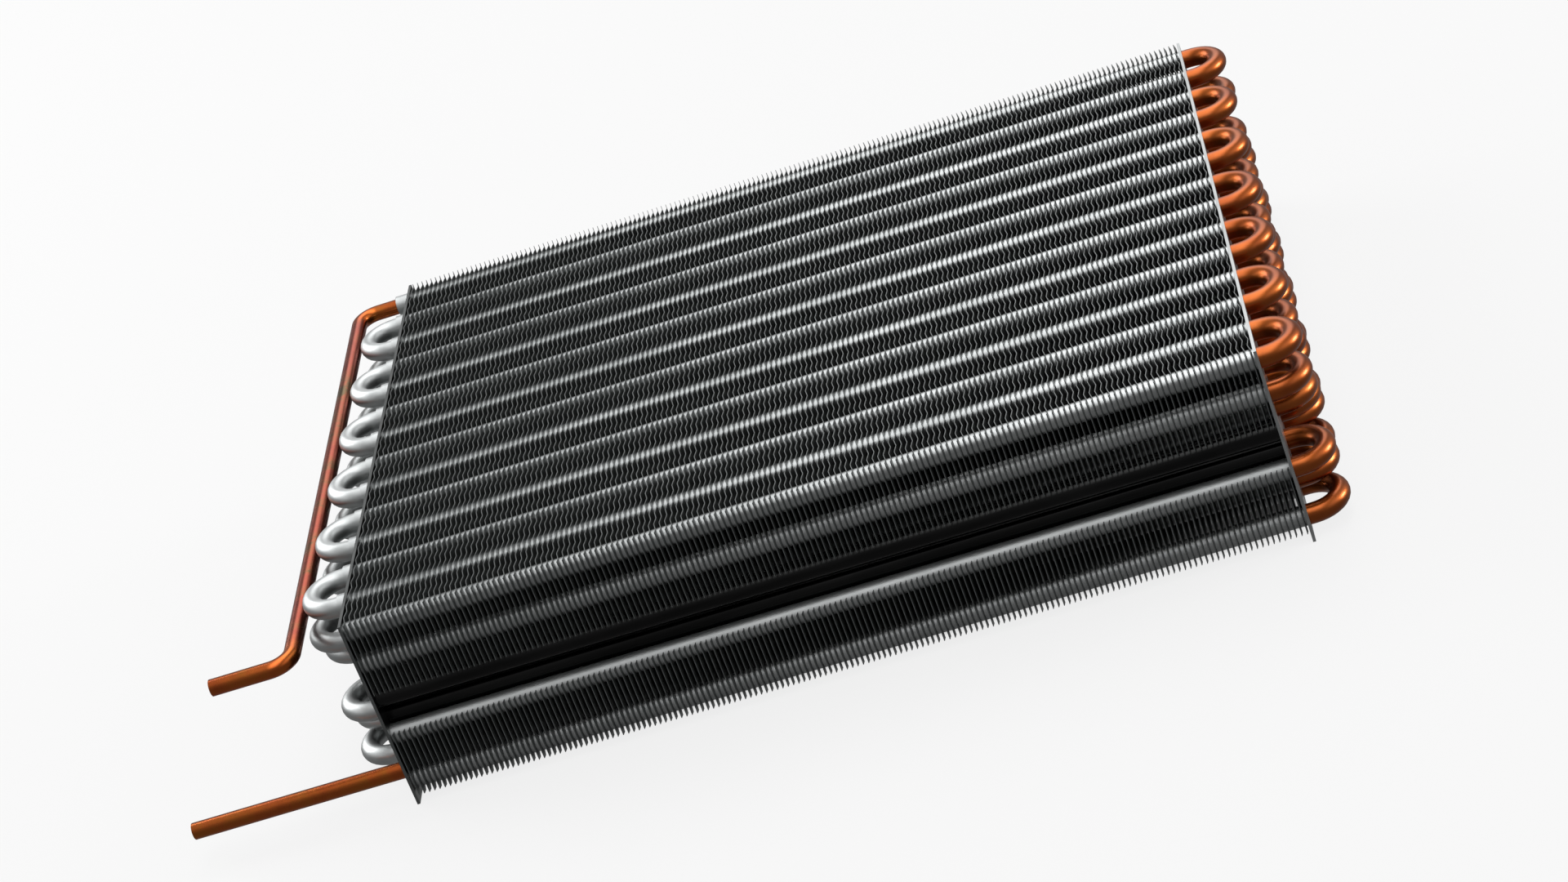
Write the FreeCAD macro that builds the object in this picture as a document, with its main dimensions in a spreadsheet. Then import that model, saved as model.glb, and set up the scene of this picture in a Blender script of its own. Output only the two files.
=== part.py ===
import FreeCAD
import Part
import math
import os

from Sketcher import Constraint

# Fin-and-tube evaporator coil: two stacked fin packs between two end plates, six rows of
# tubes running across the packs, hairpins at the right end, return bends at the left end,
# two plain rods in the gap between the packs, and the inlet and outlet pipes at the left.
# X runs along the tubes, Y from the front face to the back face, Z up.
# The origin is the middle of the whole outline, at the level of the end plates' lower edges.

TUBE_FACES = 8
ROD_FACES = 16

SIZES = {
    "fin_span": 399.0,
    "plate_gauge": 1.3,
    "plate_height": 93.0,
    "tube_pitch": 25.4,
    "tube_od": 9.0,
    "near_count": 14,
    "near_first": 6.35,
    "fin_gauge": 0.4,
    "fin_count": 50,
    "lower_base": 4.3,
    "level_a": 0.929,
    "level_b": 0.754,
    "level_c": 0.6075,
    "level_e": 0.3575,
    "level_f": 0.226,
    "level_g": 0.1065,
    "hairpin_straight": 2.6,
    "return_straight_top": 6.3,
    "return_straight": 9.5,
    "rod_od": 9.0,
    "upper_rod_y": 6.3,
    "upper_rod_drop": 4.2,
    "lower_rod_y": 12.5,
    "lower_rod_rise": 7.1,
    "pipe_od": 7.6,
    "pipe_wall": 0.8,
    "pipe_bend": 9.5,
    "bore_depth": 24.0,
    "collar_od": 10.0,
    "collar_length": 7.5,
    "suction_x": 29.0,
    "suction_drop": 6.7,
    "suction_reach": 65.3,
    "liquid_reach": 100.5,
    "liquid_rise": 5.0,
}

FORMULAS = {
    "pack_depth": "(near_count - 0.5) * tube_pitch",
    "right_reach": "plate_gauge + hairpin_straight + tube_pitch / 2 + tube_od / 2",
    "left_x": "(liquid_reach - fin_span - right_reach) / 2",
    "front_y": "0 - pack_depth / 2",
    "row_a": "level_a * plate_height",
    "row_b": "level_b * plate_height",
    "row_c": "level_c * plate_height",
    "row_e": "level_e * plate_height",
    "row_f": "level_f * plate_height",
    "row_g": "level_g * plate_height",
    "upper_rod_z": "row_c - upper_rod_drop",
    "lower_rod_z": "row_e + lower_rod_rise",
    "liquid_z": "row_g + liquid_rise",
    "tube_half": "tube_od / 2",
    "tube_corner": "tube_od / 2 / cos(22.5deg)",
    "collar_corner": "collar_od / 2 / cos(22.5deg)",
    "bore_od": "pipe_od - 2 * pipe_wall",
    "bend_radius": "tube_pitch / 2",
    "near_y": "near_first - pack_depth / 2",
    "far_y": "near_y + tube_pitch / 2",
    "pair_pitch": "2 * tube_pitch",
    "fin_pitch": "fin_span / fin_count",
    "suction_run": "(near_count - 1) * tube_pitch",
    "suction_length": "sqrt(suction_run ^ 2 + suction_drop ^ 2)",
}

doc = FreeCAD.newDocument("EvaporatorCoil")
sheet = doc.addObject("Spreadsheet::Sheet", "Sizes")


def fill_sheet():
    row = 1
    for alias, value in SIZES.items():
        sheet.set("A%d" % row, alias)
        sheet.set("B%d" % row, str(value))
        sheet.setAlias("B%d" % row, alias)
        row += 1
    for alias, formula in FORMULAS.items():
        sheet.set("A%d" % row, alias)
        sheet.set("B%d" % row, "=" + formula)
        sheet.setAlias("B%d" % row, alias)
        row += 1
    doc.recompute()


def size(alias):
    value = sheet.get(alias)
    return float(getattr(value, "Value", value))


def tie(obj, prop, formula):
    """Bind a property to a formula of the sheet's aliases, each written with a leading @."""
    obj.setExpression(prop, formula.replace("@", "Sizes."))


def place(obj, x="0", y="0", z="0"):
    tie(obj, "Placement.Base.x", x)
    tie(obj, "Placement.Base.y", y)
    tie(obj, "Placement.Base.z", z)


def origin_feature(body, role):
    return next(item for item in body.Origin.OriginFeatures if item.Role == role)


def new_body(label):
    body = doc.addObject("PartDesign::Body", "Body_" + label)
    body.Label = label
    body.AllowCompound = True
    return body


def new_sketch(body, role, name):
    sketch = body.newObject("Sketcher::SketchObject", name)
    sketch.AttachmentSupport = [(origin_feature(body, role), "")]
    sketch.MapMode = "FlatFace"
    return sketch


def add_rule(sketch, name, formula, *args):
    """Add a driving dimension, name it and bind it to the sheet."""
    index = sketch.addConstraint(Constraint(*args))
    sketch.renameConstraint(index, name)
    tie(sketch, "Constraints." + name, formula)


def add_rectangle(sketch, name, left, low, right, high):
    """Rectangle whose four sides keep stated distances from the sketch origin."""
    marks = [(left[0], low[0]), (right[0], low[0]), (right[0], high[0]), (left[0], high[0])]
    points = [FreeCAD.Vector(u, v, 0) for u, v in marks]
    first = sketch.GeometryCount
    for k in range(4):
        sketch.addGeometry(Part.LineSegment(points[k], points[(k + 1) % 4]), False)
    for k in range(4):
        sketch.addConstraint(Constraint("Coincident", first + k, 2, first + (k + 1) % 4, 1))
    for k in (0, 2):
        sketch.addConstraint(Constraint("Horizontal", first + k))
        sketch.addConstraint(Constraint("Vertical", first + k + 1))
    if left[1] is None:
        sketch.addConstraint(Constraint("PointOnObject", first, 1, -2))
    else:
        add_rule(sketch, name + "_left", left[1], "DistanceX", -1, 1, first, 1, left[0])
    if low[1] is None:
        sketch.addConstraint(Constraint("PointOnObject", first, 1, -1))
    else:
        add_rule(sketch, name + "_low", low[1], "DistanceY", -1, 1, first, 1, low[0])
    add_rule(sketch, name + "_right", right[1], "DistanceX", -1, 1, first + 1, 2, right[0])
    add_rule(sketch, name + "_high", high[1], "DistanceY", -1, 1, first + 1, 2, high[0])


def add_polygon(sketch, name, faces, corner):
    """Regular outline about the sketch origin, with flats above and below."""
    step = 2 * math.pi / faces
    radius = size(corner)
    first = sketch.GeometryCount
    marks = []
    for k in range(faces):
        angle = (k + 0.5) * step
        marks.append(FreeCAD.Vector(radius * math.cos(angle), radius * math.sin(angle), 0))
    for k in range(faces):
        sketch.addGeometry(Part.LineSegment(marks[k], marks[(k + 1) % faces]), False)
    ring = Part.Circle(FreeCAD.Vector(0, 0, 0), FreeCAD.Vector(0, 0, 1), radius)
    circle = sketch.addGeometry(ring, True)
    sketch.addConstraint(Constraint("Coincident", circle, 3, -1, 1))
    add_rule(sketch, name, "@" + corner, "Radius", circle, radius)
    for k in range(faces):
        sketch.addConstraint(Constraint("Coincident", first + k, 2, first + (k + 1) % faces, 1))
        sketch.addConstraint(Constraint("PointOnObject", first + k, 1, circle))
    for k in range(1, faces):
        sketch.addConstraint(Constraint("Equal", first, first + k))
    sketch.addConstraint(Constraint("Horizontal", first + faces // 4 - 1))


def length_of(terms):
    return sum(factor * size(alias) for alias, factor in terms.items())


def formula_of(terms, sign):
    return " + ".join("@%s * %.9f" % (alias, sign * factor) for alias, factor in terms.items())


def add_path(sketch, steps):
    """Open line from the origin; each step holds its reach along both axes as sheet terms."""
    spot = FreeCAD.Vector(0, 0, 0)
    for k, (across, along) in enumerate(steps):
        last = spot
        spot = last + FreeCAD.Vector(length_of(across), length_of(along), 0)
        sketch.addGeometry(Part.LineSegment(last, spot), False)
        if k == 0:
            sketch.addConstraint(Constraint("Coincident", 0, 1, -1, 1))
        else:
            sketch.addConstraint(Constraint("Coincident", k - 1, 2, k, 1))
        for kind, level, terms in (("DistanceX", "Vertical", across),
                                   ("DistanceY", "Horizontal", along)):
            reach = length_of(terms)
            if not terms:
                sketch.addConstraint(Constraint(level, k))
            elif reach > 0:
                add_rule(sketch, "%s_%d" % (kind, k), formula_of(terms, 1), kind, k, 1, k, 2, reach)
            else:
                add_rule(sketch, "%s_%d" % (kind, k), formula_of(terms, -1), kind, k, 2, k, 1, -reach)


def bend_steps(radius, turns, angle, heading, side):
    """Short runs that round off a bend of equal turns, outside its true arc."""
    turn = angle / turns
    chord = 2 * math.tan(turn / 2)
    steps = []
    for k in range(1, turns):
        toward = heading + side * k * turn
        across, along = chord * math.cos(toward), chord * math.sin(toward)
        steps.append(({radius: across} if abs(across) > 1e-6 else {},
                      {radius: along} if abs(along) > 1e-6 else {}))
    return steps


def u_bend(straight, turns):
    reach = math.tan(math.pi / turns / 2)
    leg = {straight: 1, "bend_radius": reach}
    back = {straight: -1, "bend_radius": -reach}
    return [(leg, {})] + bend_steps("bend_radius", turns, math.pi, 0.0, 1) + [(back, {})]


def suction_steps(turns):
    """Out of the collar, forward beside the return bends, then out to the left."""
    trim = 1 - math.tan(math.pi / 4 / turns)
    first = {"suction_x": -1, "plate_gauge": 1, "collar_length": 1, "pipe_bend": trim}
    run = {"suction_length": -1, "pipe_bend": 2 * trim}
    last = {"suction_reach": -1, "suction_x": 1, "pipe_bend": trim}
    back = bend_steps("pipe_bend", turns, math.pi / 2, math.pi, 1)
    front = bend_steps("pipe_bend", turns, math.pi / 2, -math.pi / 2, -1)
    return [(first, {})] + back + [({}, run)] + front + [(last, {})]


def add_circle(sketch, name, formula, radius):
    ring = Part.Circle(FreeCAD.Vector(0, 0, 0), FreeCAD.Vector(0, 0, 1), radius)
    circle = sketch.addGeometry(ring, False)
    sketch.addConstraint(Constraint("Coincident", circle, 3, -1, 1))
    add_rule(sketch, name, formula, "Radius", circle, radius)


def repeat(body, feature, role, count_formula, span_formula):
    """Row of equal copies of the body's feature along one of its own axes."""
    row = body.newObject("PartDesign::LinearPattern", feature.Name + "_row")
    row.Originals = [feature]
    row.Direction = (origin_feature(body, role), [""])
    tie(row, "Occurrences", count_formula)
    tie(row, "Length", span_formula)
    feature.Visibility = False
    body.Tip = row


def extrude(body, sketch, length_formula, reverse=False):
    pad = body.newObject("PartDesign::Pad", sketch.Name + "_pad")
    pad.Profile = sketch
    pad.Reversed = reverse
    tie(pad, "Length", length_formula)
    sketch.Visibility = False
    return pad


def sweep(body, profile, path):
    pipe = body.newObject("PartDesign::AdditivePipe", profile.Name + "_sweep")
    pipe.Profile = profile
    pipe.Spine = (path, ["Edge%d" % (k + 1) for k in range(path.GeometryCount)])
    pipe.Transition = "Right corner"
    profile.Visibility = False
    path.Visibility = False
    return pipe


def make_plate(label, x_formula):
    body = new_body(label)
    sketch = new_sketch(body, "YZ_Plane", label + "_face")
    add_rectangle(sketch, "plate", (0, None), (0, None),
                  (size("pack_depth"), "@pack_depth"), (size("plate_height"), "@plate_height"))
    extrude(body, sketch, "@plate_gauge")
    place(body, x_formula, "@front_y")


def make_fins(label, top, rows, base):
    """Row of upright fins, each parted by a slot where a row of tubes passes through it."""
    body = new_body(label)
    sketch = new_sketch(body, "YZ_Plane", label + "_profile")
    half = size("tube_half")
    upper = (size(top), "@" + top) if top else (size(rows[0]) - half, "@%s - @tube_half" % rows[0])
    for k, row in enumerate(rows if top else rows[1:]):
        lower = (size(row) + half, "@%s + @tube_half" % row)
        add_rectangle(sketch, "band_%d" % k, (0, None), lower,
                      (size("pack_depth"), "@pack_depth"), upper)
        upper = (size(row) - half, "@%s - @tube_half" % row)
    if base:
        add_rectangle(sketch, "foot", (0, None), (size(base), "@" + base),
                      (size("pack_depth"), "@pack_depth"), upper)
    pad = extrude(body, sketch, "@fin_gauge")
    repeat(body, pad, "X_Axis", "@fin_count", "@fin_pitch * (@fin_count - 1)")
    place(body, "@left_x + (@fin_pitch - @fin_gauge) / 2", "@front_y")


def make_tubes(label, y_formula, z_alias, count_formula, count):
    body = new_body(label)
    sketch = new_sketch(body, "YZ_Plane", label + "_section")
    add_polygon(sketch, "outside", TUBE_FACES, "tube_corner")
    pad = extrude(body, sketch, "@fin_span")
    if count > 1:
        repeat(body, pad, "Y_Axis", count_formula, "@tube_pitch * (%s - 1)" % count_formula)
    place(body, "@left_x", y_formula, "@" + z_alias)


def make_bends(label, straight, turns, base, count_formula, count, turned):
    """U bends of the tube's section, standing out from an end plate."""
    body = new_body(label)
    section = new_sketch(body, "YZ_Plane", label + "_section")
    add_polygon(section, "outside", TUBE_FACES, "tube_corner")
    path = new_sketch(body, "XY_Plane", label + "_path")
    add_path(path, u_bend(straight, turns))
    bend = sweep(body, section, path)
    if count > 1:
        repeat(body, bend, "Y_Axis", count_formula, "@pair_pitch * (%s - 1)" % count_formula)
    if turned:
        body.Placement = FreeCAD.Placement(FreeCAD.Vector(), FreeCAD.Rotation(180, 0, 0))
    place(body, *base)


def make_rod(label, y_alias, z_alias):
    rod = doc.addObject("Part::Prism", "Rod_" + label)
    rod.Label = label
    rod.Polygon = ROD_FACES
    rod.Placement = FreeCAD.Placement(FreeCAD.Vector(), FreeCAD.Rotation(0, 90, 0))
    tie(rod, "Circumradius", "@rod_od / 2")
    tie(rod, "Height", "@fin_span")
    place(rod, "@left_x", "@front_y + @" + y_alias, "@" + z_alias)


def make_suction_pipe(label):
    body = new_body(label)
    section = new_sketch(body, "YZ_Plane", label + "_section")
    add_circle(section, "outside", "@pipe_od / 2", size("pipe_od") / 2)
    path = new_sketch(body, "XY_Plane", label + "_path")
    add_path(path, suction_steps(3))
    sweep(body, section, path)
    mouth = new_sketch(body, "YZ_Plane", label + "_mouth")
    tie(mouth, "AttachmentOffset.Base.x", "0 - @suction_length")
    tie(mouth, "AttachmentOffset.Base.z", "@plate_gauge + @collar_length - @suction_reach")
    add_circle(mouth, "bore", "@bore_od / 2", size("bore_od") / 2)
    bore = body.newObject("PartDesign::Pocket", label + "_bore")
    bore.Profile = mouth
    bore.Reversed = True
    tie(bore, "Length", "@bore_depth")
    mouth.Visibility = False
    tilt = FreeCAD.Rotation(FreeCAD.Vector(1, 0, 0), 1)
    body.Placement = FreeCAD.Placement(FreeCAD.Vector(), tilt)
    tie(body, "Placement.Rotation.Angle", "atan(@suction_drop / @suction_run)")
    place(body, "@left_x - @plate_gauge - @collar_length", "@near_y + @suction_run", "@row_a")


def make_collar(label):
    body = new_body(label)
    section = new_sketch(body, "YZ_Plane", label + "_section")
    add_polygon(section, "outside", TUBE_FACES, "collar_corner")
    extrude(body, section, "@collar_length", True)
    place(body, "@left_x - @plate_gauge", "@near_y + @suction_run", "@row_a")


def make_liquid_pipe(label):
    body = new_body(label)
    section = new_sketch(body, "YZ_Plane", label + "_section")
    add_circle(section, "outside", "@pipe_od / 2", size("pipe_od") / 2)
    add_circle(section, "bore", "@bore_od / 2", size("bore_od") / 2)
    extrude(body, section, "@liquid_reach - @plate_gauge", True)
    place(body, "@left_x - @plate_gauge", "@near_y", "@liquid_z")


def make_coil():
    make_plate("end_plate_left", "@left_x - @plate_gauge")
    make_plate("end_plate_right", "@left_x + @fin_span")
    make_fins("upper_fins", "plate_height", ["row_a", "row_b", "row_c"], None)
    make_fins("lower_fins", None, ["row_e", "row_f", "row_g"], "lower_base")
    near = int(size("near_count"))
    for row in "abcefg":
        staggered = row in "cf"
        y = "@far_y" if staggered else "@near_y"
        z = "row_" + row
        tubes = near - 1 if staggered else near
        tube_formula = "(@near_count - 1)" if staggered else "@near_count"
        make_tubes("tubes_row_" + row, y, z, tube_formula, tubes)
        right = tubes // 2
        left = (tubes - 1) // 2
        straight = "return_straight_top" if row == "a" else "return_straight"
        right_x = "@left_x + @fin_span + @plate_gauge"
        left_x = "@left_x - @plate_gauge"
        if row == "a":
            for k in range(right):
                base = (right_x, "%s + %d * @pair_pitch" % (y, k), "@" + z)
                make_bends("top_hairpin_%d" % (k + 1), "hairpin_straight", 6, base, "1", 1, False)
            for k in range(left):
                base = (left_x, "%s + %d * @pair_pitch" % (y, k + 1), "@" + z)
                make_bends("top_return_%d" % (k + 1), straight, 6, base, "1", 1, True)
        else:
            base = (right_x, y, "@" + z)
            make_bends("hairpins_row_" + row, "hairpin_straight", 4, base, str(right), right, False)
            base = (left_x, "%s + %d * @pair_pitch" % (y, left), "@" + z)
            make_bends("returns_row_" + row, straight, 4, base, str(left), left, True)
    make_rod("upper_rod", "upper_rod_y", "upper_rod_z")
    make_rod("lower_rod", "lower_rod_y", "lower_rod_z")
    make_suction_pipe("suction_pipe")
    make_collar("suction_collar")
    make_liquid_pipe("liquid_pipe")


def check_and_export():
    for obj in doc.Objects:
        if "Invalid" in obj.State or "Error" in obj.State:
            raise RuntimeError("%s is in state %s" % (obj.Label, obj.State))
    os.makedirs("parts", exist_ok=True)
    solids = [obj for obj in doc.Objects if obj.TypeId in ("PartDesign::Body", "Part::Prism")]
    for obj in solids:
        if obj.Shape.isNull() or not obj.Shape.isValid():
            raise RuntimeError("%s has no valid shape" % obj.Label)
    for obj in solids:
        obj.Shape.exportStep(os.path.join("parts", obj.Label + ".step"))
        print(obj.Label, len(obj.Shape.Solids))


fill_sheet()
make_coil()
doc.recompute()
check_and_export()
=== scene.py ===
import math

import bpy
import numpy as np
from mathutils import Matrix, Vector


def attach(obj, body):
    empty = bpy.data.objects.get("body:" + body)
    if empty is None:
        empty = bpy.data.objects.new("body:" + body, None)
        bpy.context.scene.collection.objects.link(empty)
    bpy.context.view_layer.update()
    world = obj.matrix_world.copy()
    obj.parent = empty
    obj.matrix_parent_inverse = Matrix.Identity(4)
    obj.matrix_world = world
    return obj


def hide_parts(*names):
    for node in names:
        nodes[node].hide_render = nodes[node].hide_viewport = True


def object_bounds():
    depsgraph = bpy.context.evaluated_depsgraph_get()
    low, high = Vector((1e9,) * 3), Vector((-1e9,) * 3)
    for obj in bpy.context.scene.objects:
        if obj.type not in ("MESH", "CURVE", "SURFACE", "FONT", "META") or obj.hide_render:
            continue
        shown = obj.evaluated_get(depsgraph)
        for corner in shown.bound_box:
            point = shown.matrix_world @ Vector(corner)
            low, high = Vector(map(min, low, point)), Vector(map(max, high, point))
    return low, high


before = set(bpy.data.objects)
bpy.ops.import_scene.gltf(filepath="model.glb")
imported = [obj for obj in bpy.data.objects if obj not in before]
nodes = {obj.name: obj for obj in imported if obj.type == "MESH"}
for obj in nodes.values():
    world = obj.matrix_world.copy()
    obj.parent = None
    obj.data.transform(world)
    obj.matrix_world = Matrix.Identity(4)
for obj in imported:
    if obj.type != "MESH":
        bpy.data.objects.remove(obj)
cad_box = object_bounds()

MM = 0.001

# Sizes in millimetres. The outline, rows, tubes, rods and pipes are those of the CAD model.
FIN_SPAN = 399.0
PLATE = 1.3
PITCH = 25.4
TUBE_R = 4.5
BEND_R = PITCH / 2
DEPTH = 13.5 * PITCH
LEFT = -159.8
RIGHT = LEFT + FIN_SPAN
LEFT_FACE = LEFT - PLATE
RIGHT_FACE = RIGHT + PLATE
FRONT = -DEPTH / 2
NEAR_Y = FRONT + 6.35
FAR_Y = NEAR_Y + PITCH / 2
ROWS = {"a": 86.397, "b": 70.122, "c": 56.4975, "e": 33.2475, "f": 21.018, "g": 9.9045}
TOP_ROW = "a"
FAR_ROWS = "cf"
NEAR_TUBES = 14
FAR_TUBES = 13
HAIRPIN_STRAIGHT = 2.6
TOP_RETURN_STRAIGHT = 6.3
RETURN_STRAIGHT = 9.5
BEND_COLLAR_R = 5.3
BEND_COLLAR = 4.5
BEND_COLLAR_STEP = 0.15
FIN_PACKS = {"upper_fins": (56.8, 93.0), "lower_fins": (4.3, 36.0)}
FIN_COUNT = 166
FIN_GAUGE = 0.30
WAVE = 10.16
WAVE_REACH = 0.45
RODS = {"upper_rod": (6.3, 52.2975), "lower_rod": (12.5, 40.3475)}
PIPE_R = 3.8
BORE_R = 3.0
BORE_DEPTH = 24.0
PIPE_BEND = 9.5
SUCTION_X = 29.0
SUCTION_Y = NEAR_Y + 13 * PITCH
SUCTION_REACH = 65.3
SUCTION_DROP = 6.7
# The suction pipe's collar, as distance from the plate and radius.
SUCTION_COLLAR = ((0.0, 5.0), (7.2, 5.0), (7.5, 4.6))
LIQUID_REACH = 100.5
LIQUID_Z = 14.9045

TUBE_SIDES = 24
PIPE_SIDES = 28
BEND_STEPS = 18
CORNER_STEPS = 12
SHARP_ANGLE = 0.9

# Stretch of the noise along X, Y and Z.
EVEN = (1.0, 1.0, 1.0)
ALONG_FIN = (0.2, 1.0, 3.0)
ALONG_PLATE = (1.0, 0.3, 2.0)
ALONG_TUBE = (0.3, 2.0, 2.0)


def new_material(name):
    mat = bpy.data.materials.new(name)
    mat.use_nodes = True
    tree = mat.node_tree
    return mat, tree, tree.nodes["Principled BSDF"]


def noise(tree, where, scale, detail, roughness):
    node = tree.nodes.new("ShaderNodeTexNoise")
    for key, value in (("Scale", scale), ("Detail", detail), ("Roughness", roughness)):
        node.inputs[key].default_value = value
    tree.links.new(where, node.inputs["Vector"])
    return node.outputs["Fac"]


def ramp(tree, source, stops):
    node = tree.nodes.new("ShaderNodeValToRGB")
    bar = node.color_ramp
    while len(bar.elements) < len(stops):
        bar.elements.new(0.5)
    for spot, (place, colour) in zip(bar.elements, stops):
        spot.position = place
        spot.color = (*colour, 1.0)
    tree.links.new(source, node.inputs["Fac"])
    return node.outputs["Color"]


def stretched(tree, stretch):
    coords = tree.nodes.new("ShaderNodeTexCoord")
    mapping = tree.nodes.new("ShaderNodeMapping")
    mapping.inputs["Scale"].default_value = stretch
    tree.links.new(coords.outputs["Object"], mapping.inputs["Vector"])
    return mapping.outputs["Vector"]


def axes(tree, source):
    node = tree.nodes.new("ShaderNodeSeparateXYZ")
    tree.links.new(source, node.inputs["Vector"])
    return node.outputs["X"], node.outputs["Y"], node.outputs["Z"]


def span(tree, source, start, end, low=0.0, high=1.0):
    """The source, mapped from start..end to low..high and held there outside it."""
    node = tree.nodes.new("ShaderNodeMapRange")
    for key, value in (("From Min", start), ("From Max", end), ("To Min", low), ("To Max", high)):
        node.inputs[key].default_value = value
    tree.links.new(source, node.inputs["Value"])
    return node.outputs["Result"]


def calc(tree, kind, *terms):
    """A Math node; each term is a socket or a plain float."""
    node = tree.nodes.new("ShaderNodeMath")
    node.operation = kind
    for socket, term in zip(node.inputs, terms):
        if isinstance(term, float):
            socket.default_value = term
        else:
            tree.links.new(term, socket)
    return node.outputs["Value"]


def metal(name, dark, light, rough, stretch, scale, metallic=1.0):
    """Drawn or rolled metal: cloudy colour from dark to light and an uneven polish."""
    mat, tree, shader = new_material(name)
    shader.inputs["Metallic"].default_value = metallic
    where = stretched(tree, stretch)
    cloud = noise(tree, where, scale, 5.0, 0.6)
    grain = noise(tree, where, scale * 9, 3.0, 0.7)
    tint = ramp(tree, cloud, [(0.32, dark), (0.68, light)])
    tree.links.new(tint, shader.inputs["Base Color"])
    tree.links.new(span(tree, grain, 0.0, 1.0, *rough), shader.inputs["Roughness"])
    return mat


def patina_copper(name):
    """Copper pipe whose long run has gone red and brown in blotches, with a green trace."""
    mat, tree, shader = new_material(name)
    shader.inputs["Metallic"].default_value = 1.0
    where = stretched(tree, EVEN)
    blotch = noise(tree, where, 55.0, 6.0, 0.65)
    fine = noise(tree, where, 170.0, 4.0, 0.6)
    bright = ramp(tree, blotch, [(0.30, (0.25, 0.045, 0.012)),
                                 (0.50, (0.31, 0.070, 0.014)),
                                 (0.70, (0.28, 0.092, 0.014))])
    dull = ramp(tree, blotch, [(0.30, (0.165, 0.025, 0.011)),
                               (0.48, (0.22, 0.036, 0.016)),
                               (0.58, (0.19, 0.048, 0.015)),
                               (0.66, (0.085, 0.052, 0.015))])
    # The dull colours lie between the suction pipe's two bends.
    y = axes(tree, where)[1]
    share = calc(tree, "MULTIPLY", span(tree, y, -0.152, -0.145), span(tree, y, 0.158, 0.150))
    blend = tree.nodes.new("ShaderNodeMix")
    blend.data_type = "RGBA"
    tree.links.new(share, blend.inputs["Factor"])
    tree.links.new(bright, blend.inputs["A"])
    tree.links.new(dull, blend.inputs["B"])
    tree.links.new(blend.outputs["Result"], shader.inputs["Base Color"])
    tree.links.new(span(tree, fine, 0.0, 1.0, 0.20, 0.32), shader.inputs["Roughness"])
    grain = tree.nodes.new("ShaderNodeBump")
    grain.inputs["Strength"].default_value = 1.0
    grain.inputs["Distance"].default_value = 0.000004
    tree.links.new(fine, grain.inputs["Height"])
    tree.links.new(grain.outputs["Normal"], shader.inputs["Normal"])
    return mat


def coated(mat, weight, rough):
    shader = mat.node_tree.nodes["Principled BSDF"]
    shader.inputs["Coat Weight"].default_value = weight
    shader.inputs["Coat Roughness"].default_value = rough
    return mat


FIN = metal("fin_sheet", (0.072, 0.077, 0.076), (0.102, 0.108, 0.107),
            (0.30, 0.42), ALONG_FIN, 60.0, metallic=0.7)
# The right plate gets a lighter copy of the plate metal, painted lit: a painted highlight for the
# light its front edge catches. The left plate keeps the darker copy.
SHEET = metal("plate_sheet", (0.110, 0.115, 0.114), (0.150, 0.156, 0.155),
              (0.24, 0.34), ALONG_PLATE, 45.0)
LIT_PLATE_SHEET = metal("plate_painted_lit", (0.27, 0.28, 0.28), (0.35, 0.36, 0.36),
                     (0.24, 0.34), ALONG_PLATE, 45.0)
TUBE = metal("tube_drawn", (0.26, 0.27, 0.27), (0.34, 0.35, 0.35),
             (0.30, 0.40), ALONG_TUBE, 70.0)
DULL_TUBE = metal("tube_dull", (0.31, 0.32, 0.32), (0.39, 0.40, 0.40),
                  (0.46, 0.56), ALONG_TUBE, 70.0)
SILVER = metal("bend_silver", (0.31, 0.321, 0.321), (0.38, 0.392, 0.392),
               (0.40, 0.48), EVEN, 70.0)
# The rods are near black, as painted shade: they stand for the dark shade in the gap between the
# two fin packs.
ROD = metal("rod_painted_shade", (0.010, 0.010, 0.010), (0.018, 0.018, 0.018),
            (0.18, 0.26), ALONG_TUBE, 60.0)
COPPER = metal("bend_copper", (0.20, 0.042, 0.008), (0.28, 0.070, 0.012),
               (0.30, 0.38), EVEN, 40.0)
COPPER = coated(COPPER, 0.12, 0.15)
PATINA = coated(patina_copper("pipe_copper"), 0.05, 0.15)


def make_piece(name, verts, faces, mat, slot, node):
    mesh = bpy.data.meshes.new(name)
    mesh.from_pydata([tuple(v) for v in np.asarray(verts) * MM], [], faces)
    mesh.polygons.foreach_set("use_smooth", [True] * len(mesh.polygons))
    mesh.set_sharp_from_angle(angle=SHARP_ANGLE)
    mesh.materials.append(mat)
    obj = bpy.data.objects.new(name, mesh)
    bpy.context.scene.collection.objects.link(obj)
    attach(obj, "root")
    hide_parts(node)


def unit(vector):
    return vector / np.linalg.norm(vector)


def tube_mesh(path, radii, sides=TUBE_SIDES, cap=True):
    """Round tube along a path, with one radius for each of its points."""
    path = np.asarray(path, dtype=float)
    count = len(path)
    steps = [unit(step) for step in np.diff(path, axis=0)]
    verts, faces = [], []
    for k in range(count):
        along = unit(steps[max(k - 1, 0)] + steps[min(k, count - 2)])
        side = unit(np.cross((0.0, 0.0, 1.0), along))
        top = np.cross(along, side)
        for j in range(sides):
            angle = 2 * math.pi * j / sides
            verts.append(path[k] + radii[k] * (math.cos(angle) * side + math.sin(angle) * top))
    for k in range(count - 1):
        for j in range(sides):
            a, b = k * sides + j, k * sides + (j + 1) % sides
            faces.append((a, b, b + sides, a + sides))
    if cap:
        faces.append(tuple(range(sides - 1, -1, -1)))
        faces.append(tuple(range((count - 1) * sides, count * sides)))
    return verts, faces


def join(parts):
    verts, faces = [], []
    for part_verts, part_faces in parts:
        base = len(verts)
        verts.extend(part_verts)
        faces.extend(tuple(i + base for i in face) for face in part_faces)
    return verts, faces


def round_bar(y, z):
    return tube_mesh([(LEFT, y, z), (RIGHT, y, z)], [TUBE_R, TUBE_R])


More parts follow.
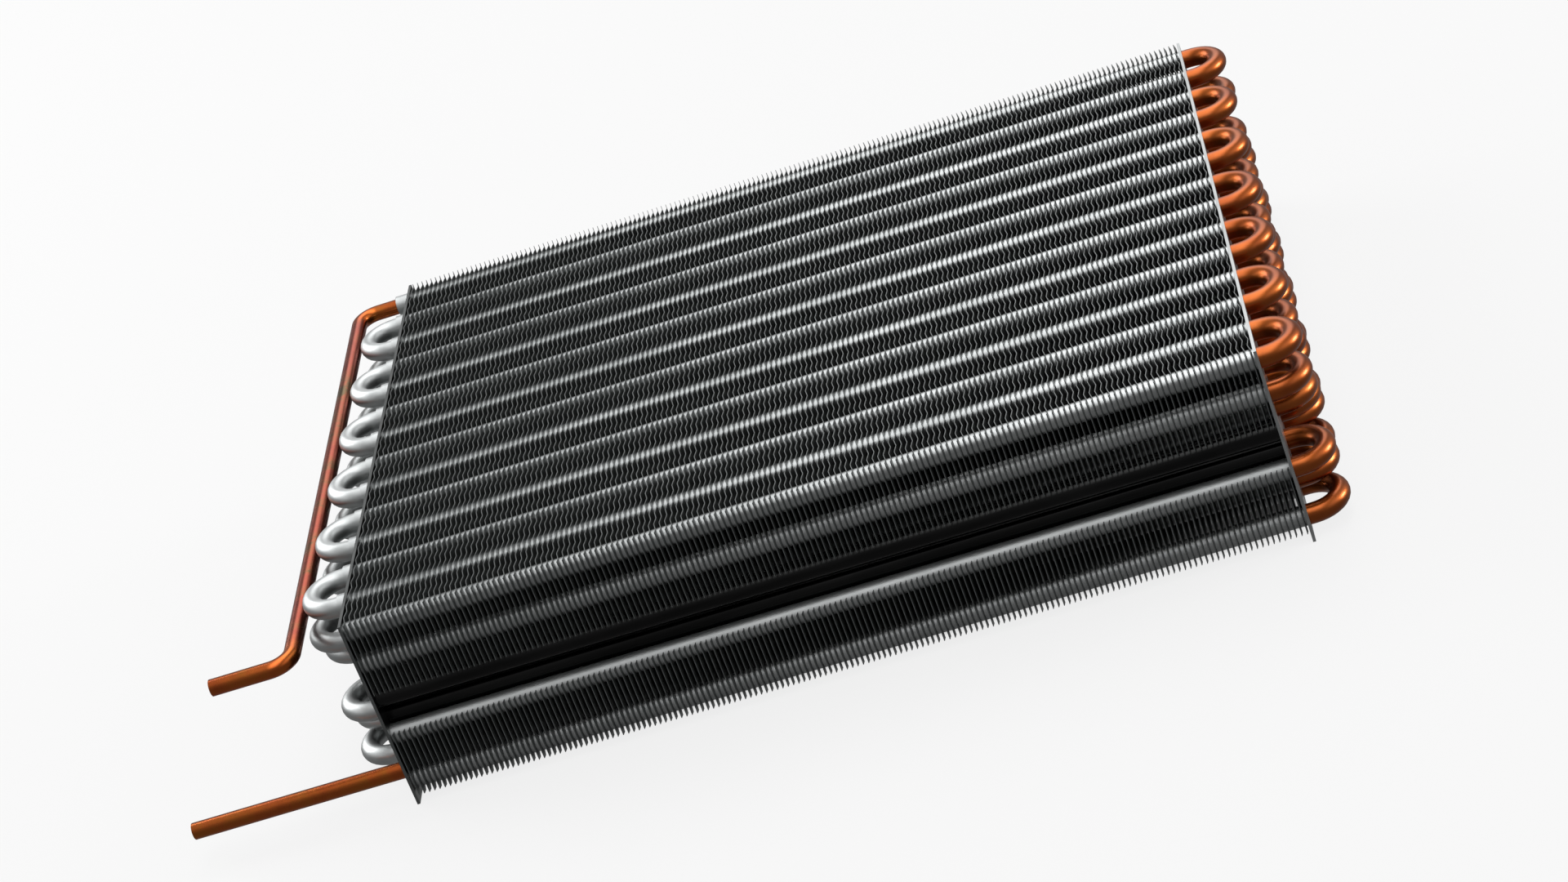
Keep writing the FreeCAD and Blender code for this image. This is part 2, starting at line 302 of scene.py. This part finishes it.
def u_bend(x, y, z, side, straight, collar):
    """U bend that stands out of a plate at x, from the tube at y to the next one."""
    centre = x + side * straight
    arc = []
    for k in range(BEND_STEPS + 1):
        angle = -math.pi / 2 + math.pi * k / BEND_STEPS
        across = y + BEND_R + BEND_R * math.sin(angle)
        arc.append((centre + side * BEND_R * math.cos(angle), across, z))
    leg = [(x, TUBE_R)]
    if collar:
        edge = x + side * BEND_COLLAR
        end = x + side * (BEND_COLLAR + BEND_COLLAR_STEP)
        leg = [(x, BEND_COLLAR_R), (edge, BEND_COLLAR_R), (end, TUBE_R)]
    first = [(at, y, z) for at, _ in leg]
    last = [(at, y + PITCH, z) for at, _ in reversed(leg)]
    radii = [r for _, r in leg] + [TUBE_R] * len(arc) + [r for _, r in reversed(leg)]
    return tube_mesh(first + arc + last, radii)


def fin_pack(low, high):
    """Row of thin upright fins whose sheets run in shallow waves from front to back."""
    count = round(DEPTH / (WAVE / 4))
    ys = np.linspace(FRONT, FRONT + DEPTH, count + 1)
    shift = WAVE_REACH * np.sin(2 * math.pi * np.arange(count + 1) / 4)
    pitch = FIN_SPAN / FIN_COUNT
    verts, faces = [], []
    for fin in range(FIN_COUNT):
        x = LEFT + (fin + 0.5) * pitch
        base = len(verts)
        for y, dx in zip(ys, shift):
            for half, z in ((-0.5, low), (0.5, low), (0.5, high), (-0.5, high)):
                verts.append((x + dx + half * FIN_GAUGE, y, z))
        for k in range(count):
            for j in range(4):
                a, b = base + 4 * k + j, base + 4 * k + (j + 1) % 4
                faces.append((b, a, a + 4, b + 4))
        faces.append((base, base + 1, base + 2, base + 3))
        end = base + 4 * count
        faces.append((end + 3, end + 2, end + 1, end))
    return verts, faces


def row_tubes(row):
    """Y of each tube in a row; the far rows stand half a pitch back."""
    start, count = (FAR_Y, FAR_TUBES) if row in FAR_ROWS else (NEAR_Y, NEAR_TUBES)
    return [start + k * PITCH for k in range(count)]


def hollow_end(path):
    """Pipe along a path that ends towards the left, with a bore in its open last end."""
    outer, faces = tube_mesh(path, [PIPE_R] * len(path), PIPE_SIDES, cap=False)
    base = len(outer)
    x, y, z = path[-1]
    bore = [(x + BORE_DEPTH, y, z), (x, y, z)]
    inner, _ = tube_mesh(bore, [BORE_R, BORE_R], PIPE_SIDES, cap=False)
    verts = outer + inner[PIPE_SIDES:] + inner[:PIPE_SIDES]
    rim = base - PIPE_SIDES
    bottom = base + PIPE_SIDES
    for j in range(PIPE_SIDES):
        n = (j + 1) % PIPE_SIDES
        faces.append((rim + j, rim + n, base + n, base + j))
        faces.append((base + j, base + n, bottom + n, bottom + j))
    faces.append(tuple(range(PIPE_SIDES - 1, -1, -1)))
    faces.append(tuple(range(bottom, bottom + PIPE_SIDES)))
    return verts, faces


def suction_path():
    """Collar to the corner, forward and slightly down beside the bends, then out left."""
    top, low = ROWS[TOP_ROW], ROWS[TOP_ROW] - SUCTION_DROP
    x = LEFT - SUCTION_X
    lean = math.atan2(SUCTION_DROP, SUCTION_Y - NEAR_Y)
    forward = Vector((0, -math.cos(lean), -math.sin(lean)))
    left = Vector((-1, 0, 0))
    back_corner = Vector((x, SUCTION_Y, top))
    front_corner = Vector((x, NEAR_Y, low))
    points = [Vector((LEFT_FACE - SUCTION_COLLAR[-1][0], SUCTION_Y, top))]
    for corner, before, after in ((back_corner, left, forward), (front_corner, forward, left)):
        centre = corner + PIPE_BEND * (after - before)
        for k in range(CORNER_STEPS + 1):
            angle = math.pi / 2 * k / CORNER_STEPS
            points.append(centre - PIPE_BEND * (after * math.cos(angle) - before * math.sin(angle)))
    points.append(Vector((LEFT - SUCTION_REACH, NEAR_Y, low)))
    return [tuple(p) for p in points]


for name, (low, high) in FIN_PACKS.items():
    make_piece("wavy_" + name, *fin_pack(low, high), FIN, "fin", name)

for row, z in ROWS.items():
    top = row == TOP_ROW
    ys = row_tubes(row)
    bars = join(round_bar(y, z) for y in ys)
    make_piece("tube_bars_" + row, *bars, TUBE if top else DULL_TUBE, "tube", "tubes_row_" + row)
    straight = TOP_RETURN_STRAIGHT if top else RETURN_STRAIGHT
    hairpins = [u_bend(RIGHT_FACE, y, z, 1, HAIRPIN_STRAIGHT, False) for y in ys[:-1:2]]
    returns = [u_bend(LEFT_FACE, y, z, -1, straight, True) for y in ys[1:-1:2]]
    if top:
        for k, bend in enumerate(hairpins, 1):
            make_piece("hairpin_a%d" % k, *bend, COPPER, "copper", "top_hairpin_%d" % k)
        for k, bend in enumerate(returns, 1):
            make_piece("return_a%d" % k, *bend, SILVER, "silver", "top_return_%d" % k)
    else:
        make_piece("hairpins_" + row, *join(hairpins), COPPER, "copper", "hairpins_row_" + row)
        make_piece("returns_" + row, *join(returns), SILVER, "silver", "returns_row_" + row)

# The rods wear the near-black painted-shade metal.
for name, (y, z) in RODS.items():
    make_piece("bar_" + name, *round_bar(FRONT + y, z), ROD, "rod", name)

liquid_path = [(LEFT_FACE, NEAR_Y, LIQUID_Z), (LEFT - LIQUID_REACH, NEAR_Y, LIQUID_Z)]
collar_path = [(LEFT_FACE - reach, SUCTION_Y, ROWS[TOP_ROW]) for reach, _ in SUCTION_COLLAR]
collar = tube_mesh(collar_path, [radius for _, radius in SUCTION_COLLAR])
make_piece("suction_line", *hollow_end(suction_path()), PATINA, "pipe_copper", "suction_pipe")
make_piece("liquid_line", *hollow_end(liquid_path), PATINA, "pipe_copper", "liquid_pipe")
make_piece("suction_bell", *collar, SILVER, "silver", "suction_collar")

# The right plate takes the lighter, painted-lit copy of the plate metal.
for name, mat in (("end_plate_left", SHEET), ("end_plate_right", LIT_PLATE_SHEET)):
    materials = nodes[name].data.materials
    materials.clear()
    materials.append(mat)


# The floor, in metres. It glows evenly, except under the coil, where its glow drops as a painted
# shadow so that no light comes up between the fins, and it is hidden from glossy rays, so that the
# tubes' undersides stay dark.
FLOOR_REACH = 9.0
FLOOR_GLOW = 0.82
FLOOR_SHADE = 0.03
UNDER_X = (0.2005, 0.194)
UNDER_Y = (0.160, 0.148)

floor_mesh = bpy.data.meshes.new("floor")
corners = [(x * FLOOR_REACH, y * FLOOR_REACH, 0) for x, y in ((-1, -1), (1, -1), (1, 1), (-1, 1))]
floor_mesh.from_pydata(corners, [], [(0, 1, 2, 3)])
floor = bpy.data.objects.new("floor", floor_mesh)
bpy.context.scene.collection.objects.link(floor)
floor_mat, tree, shader = new_material("floor_pale")
shader.inputs["Base Color"].default_value = (0.05, 0.05, 0.05, 1.0)
shader.inputs["Emission Color"].default_value = (1.0, 1.0, 1.0, 1.0)
shader.inputs["Roughness"].default_value = 0.9
shader.inputs["Specular IOR Level"].default_value = 0.1
floor_x, floor_y, _ = axes(tree, tree.nodes.new("ShaderNodeTexCoord").outputs["Object"])
# Painted shadow: the glow falls from FLOOR_GLOW to FLOOR_SHADE over the coil's footprint.
aside = calc(tree, "SUBTRACT", floor_x, (LEFT + FIN_SPAN / 2) * MM)
under_x = span(tree, calc(tree, "ABSOLUTE", aside), *UNDER_X)
under_y = span(tree, calc(tree, "ABSOLUTE", floor_y), *UNDER_Y)
under = calc(tree, "MULTIPLY", under_x, under_y)
glow = span(tree, under, 0.0, 1.0, FLOOR_GLOW, FLOOR_SHADE)
tree.links.new(glow, shader.inputs["Emission Strength"])
floor_mesh.materials.append(floor_mat)
floor.visible_glossy = False


def area_light(name, place, aim, size, power):
    data = bpy.data.lights.new(name, "AREA")
    data.shape = "RECTANGLE"
    data.size, data.size_y = size
    data.energy = power
    obj = bpy.data.objects.new(name, data)
    obj.location = place
    obj.rotation_euler = (Vector(aim) - Vector(place)).to_track_quat("-Z", "Y").to_euler()
    bpy.context.scene.collection.objects.link(obj)


area_light("right", (2.3, 0.35, 0.55), (0.2, 0, 0.05), (0.7, 0.6), 40.0)
area_light("left", (-1.6, 1.0, 1.2), (-0.1, 0, 0.05), (1.4, 1.4), 37.0)


# The sky: a dome that is brighter upwards, a long soft strip overhead, brightest above and
# fainter low behind the coil and in front, and a weaker glow beyond each end of the coil.
# Each pair gives where a part starts and where it is full, on the unit sphere's axes.
DOME_RISE = (-0.02, 0.8)
DOME_LIGHT = (0.27, 0.50)
STRIP_LEAN = 0.22
STRIP_RISE = (0.42, 0.95)
STRIP_LEFT = (-0.235, -0.06)
STRIP_RIGHT = (0.45, 0.28)
STRIP_LIGHT = 4.5
ENDS_ACROSS = (0.55, 0.75)
ENDS_RISE = (0.12, 0.55)
ENDS_LIGHT = 1.4

world = bpy.data.worlds.new("studio")
bpy.context.scene.world = world
world.use_nodes = True
sky = world.node_tree
background = sky.nodes["Background"]
background.inputs["Color"].default_value = (1.0, 1.0, 1.0, 1.0)
sky_x, sky_y, sky_z = axes(sky, sky.nodes.new("ShaderNodeTexCoord").outputs["Generated"])
strip = span(sky, calc(sky, "MULTIPLY_ADD", sky_y, STRIP_LEAN, sky_z), *STRIP_RISE)
strip = calc(sky, "MULTIPLY", strip, span(sky, sky_x, *STRIP_LEFT))
strip = calc(sky, "MULTIPLY", strip, span(sky, sky_x, *STRIP_RIGHT))
ends = span(sky, calc(sky, "ABSOLUTE", sky_x), *ENDS_ACROSS)
ends = calc(sky, "MULTIPLY", ends, span(sky, sky_z, *ENDS_RISE))
dome = span(sky, sky_z, *DOME_RISE, *DOME_LIGHT)
dome = calc(sky, "MULTIPLY_ADD", ends, ENDS_LIGHT, dome)
light = calc(sky, "MULTIPLY_ADD", strip, STRIP_LIGHT, dome)
sky.links.new(light, background.inputs["Strength"])


# The camera that was fitted to the coil's corners: its lens in millimetres, its place in
# metres, the direction it looks in, and its upward direction.
LENS = 87.48
CAMERA_PLACE = (0.27833, -1.56357, 0.79366)
CAMERA_LOOK = (-0.14849, 0.88918, -0.43280)
CAMERA_UP = (0.28720, 0.45756, 0.84152)

camera_data = bpy.data.cameras.new("camera")
camera_data.lens = LENS
camera_data.sensor_width = 36.0
camera_data.sensor_fit = "HORIZONTAL"
camera_data.clip_end = 50.0
camera = bpy.data.objects.new("camera", camera_data)
bpy.context.scene.collection.objects.link(camera)
look = Vector(CAMERA_LOOK).normalized()
right = look.cross(Vector(CAMERA_UP).normalized()).normalized()
up = right.cross(look).normalized()
turn = Matrix((right, up, -look)).transposed()
camera.matrix_world = Matrix.Translation(CAMERA_PLACE) @ turn.to_4x4()
bpy.context.scene.camera = camera
bpy.context.scene.view_settings.view_transform = "Standard"

low, high = cad_box
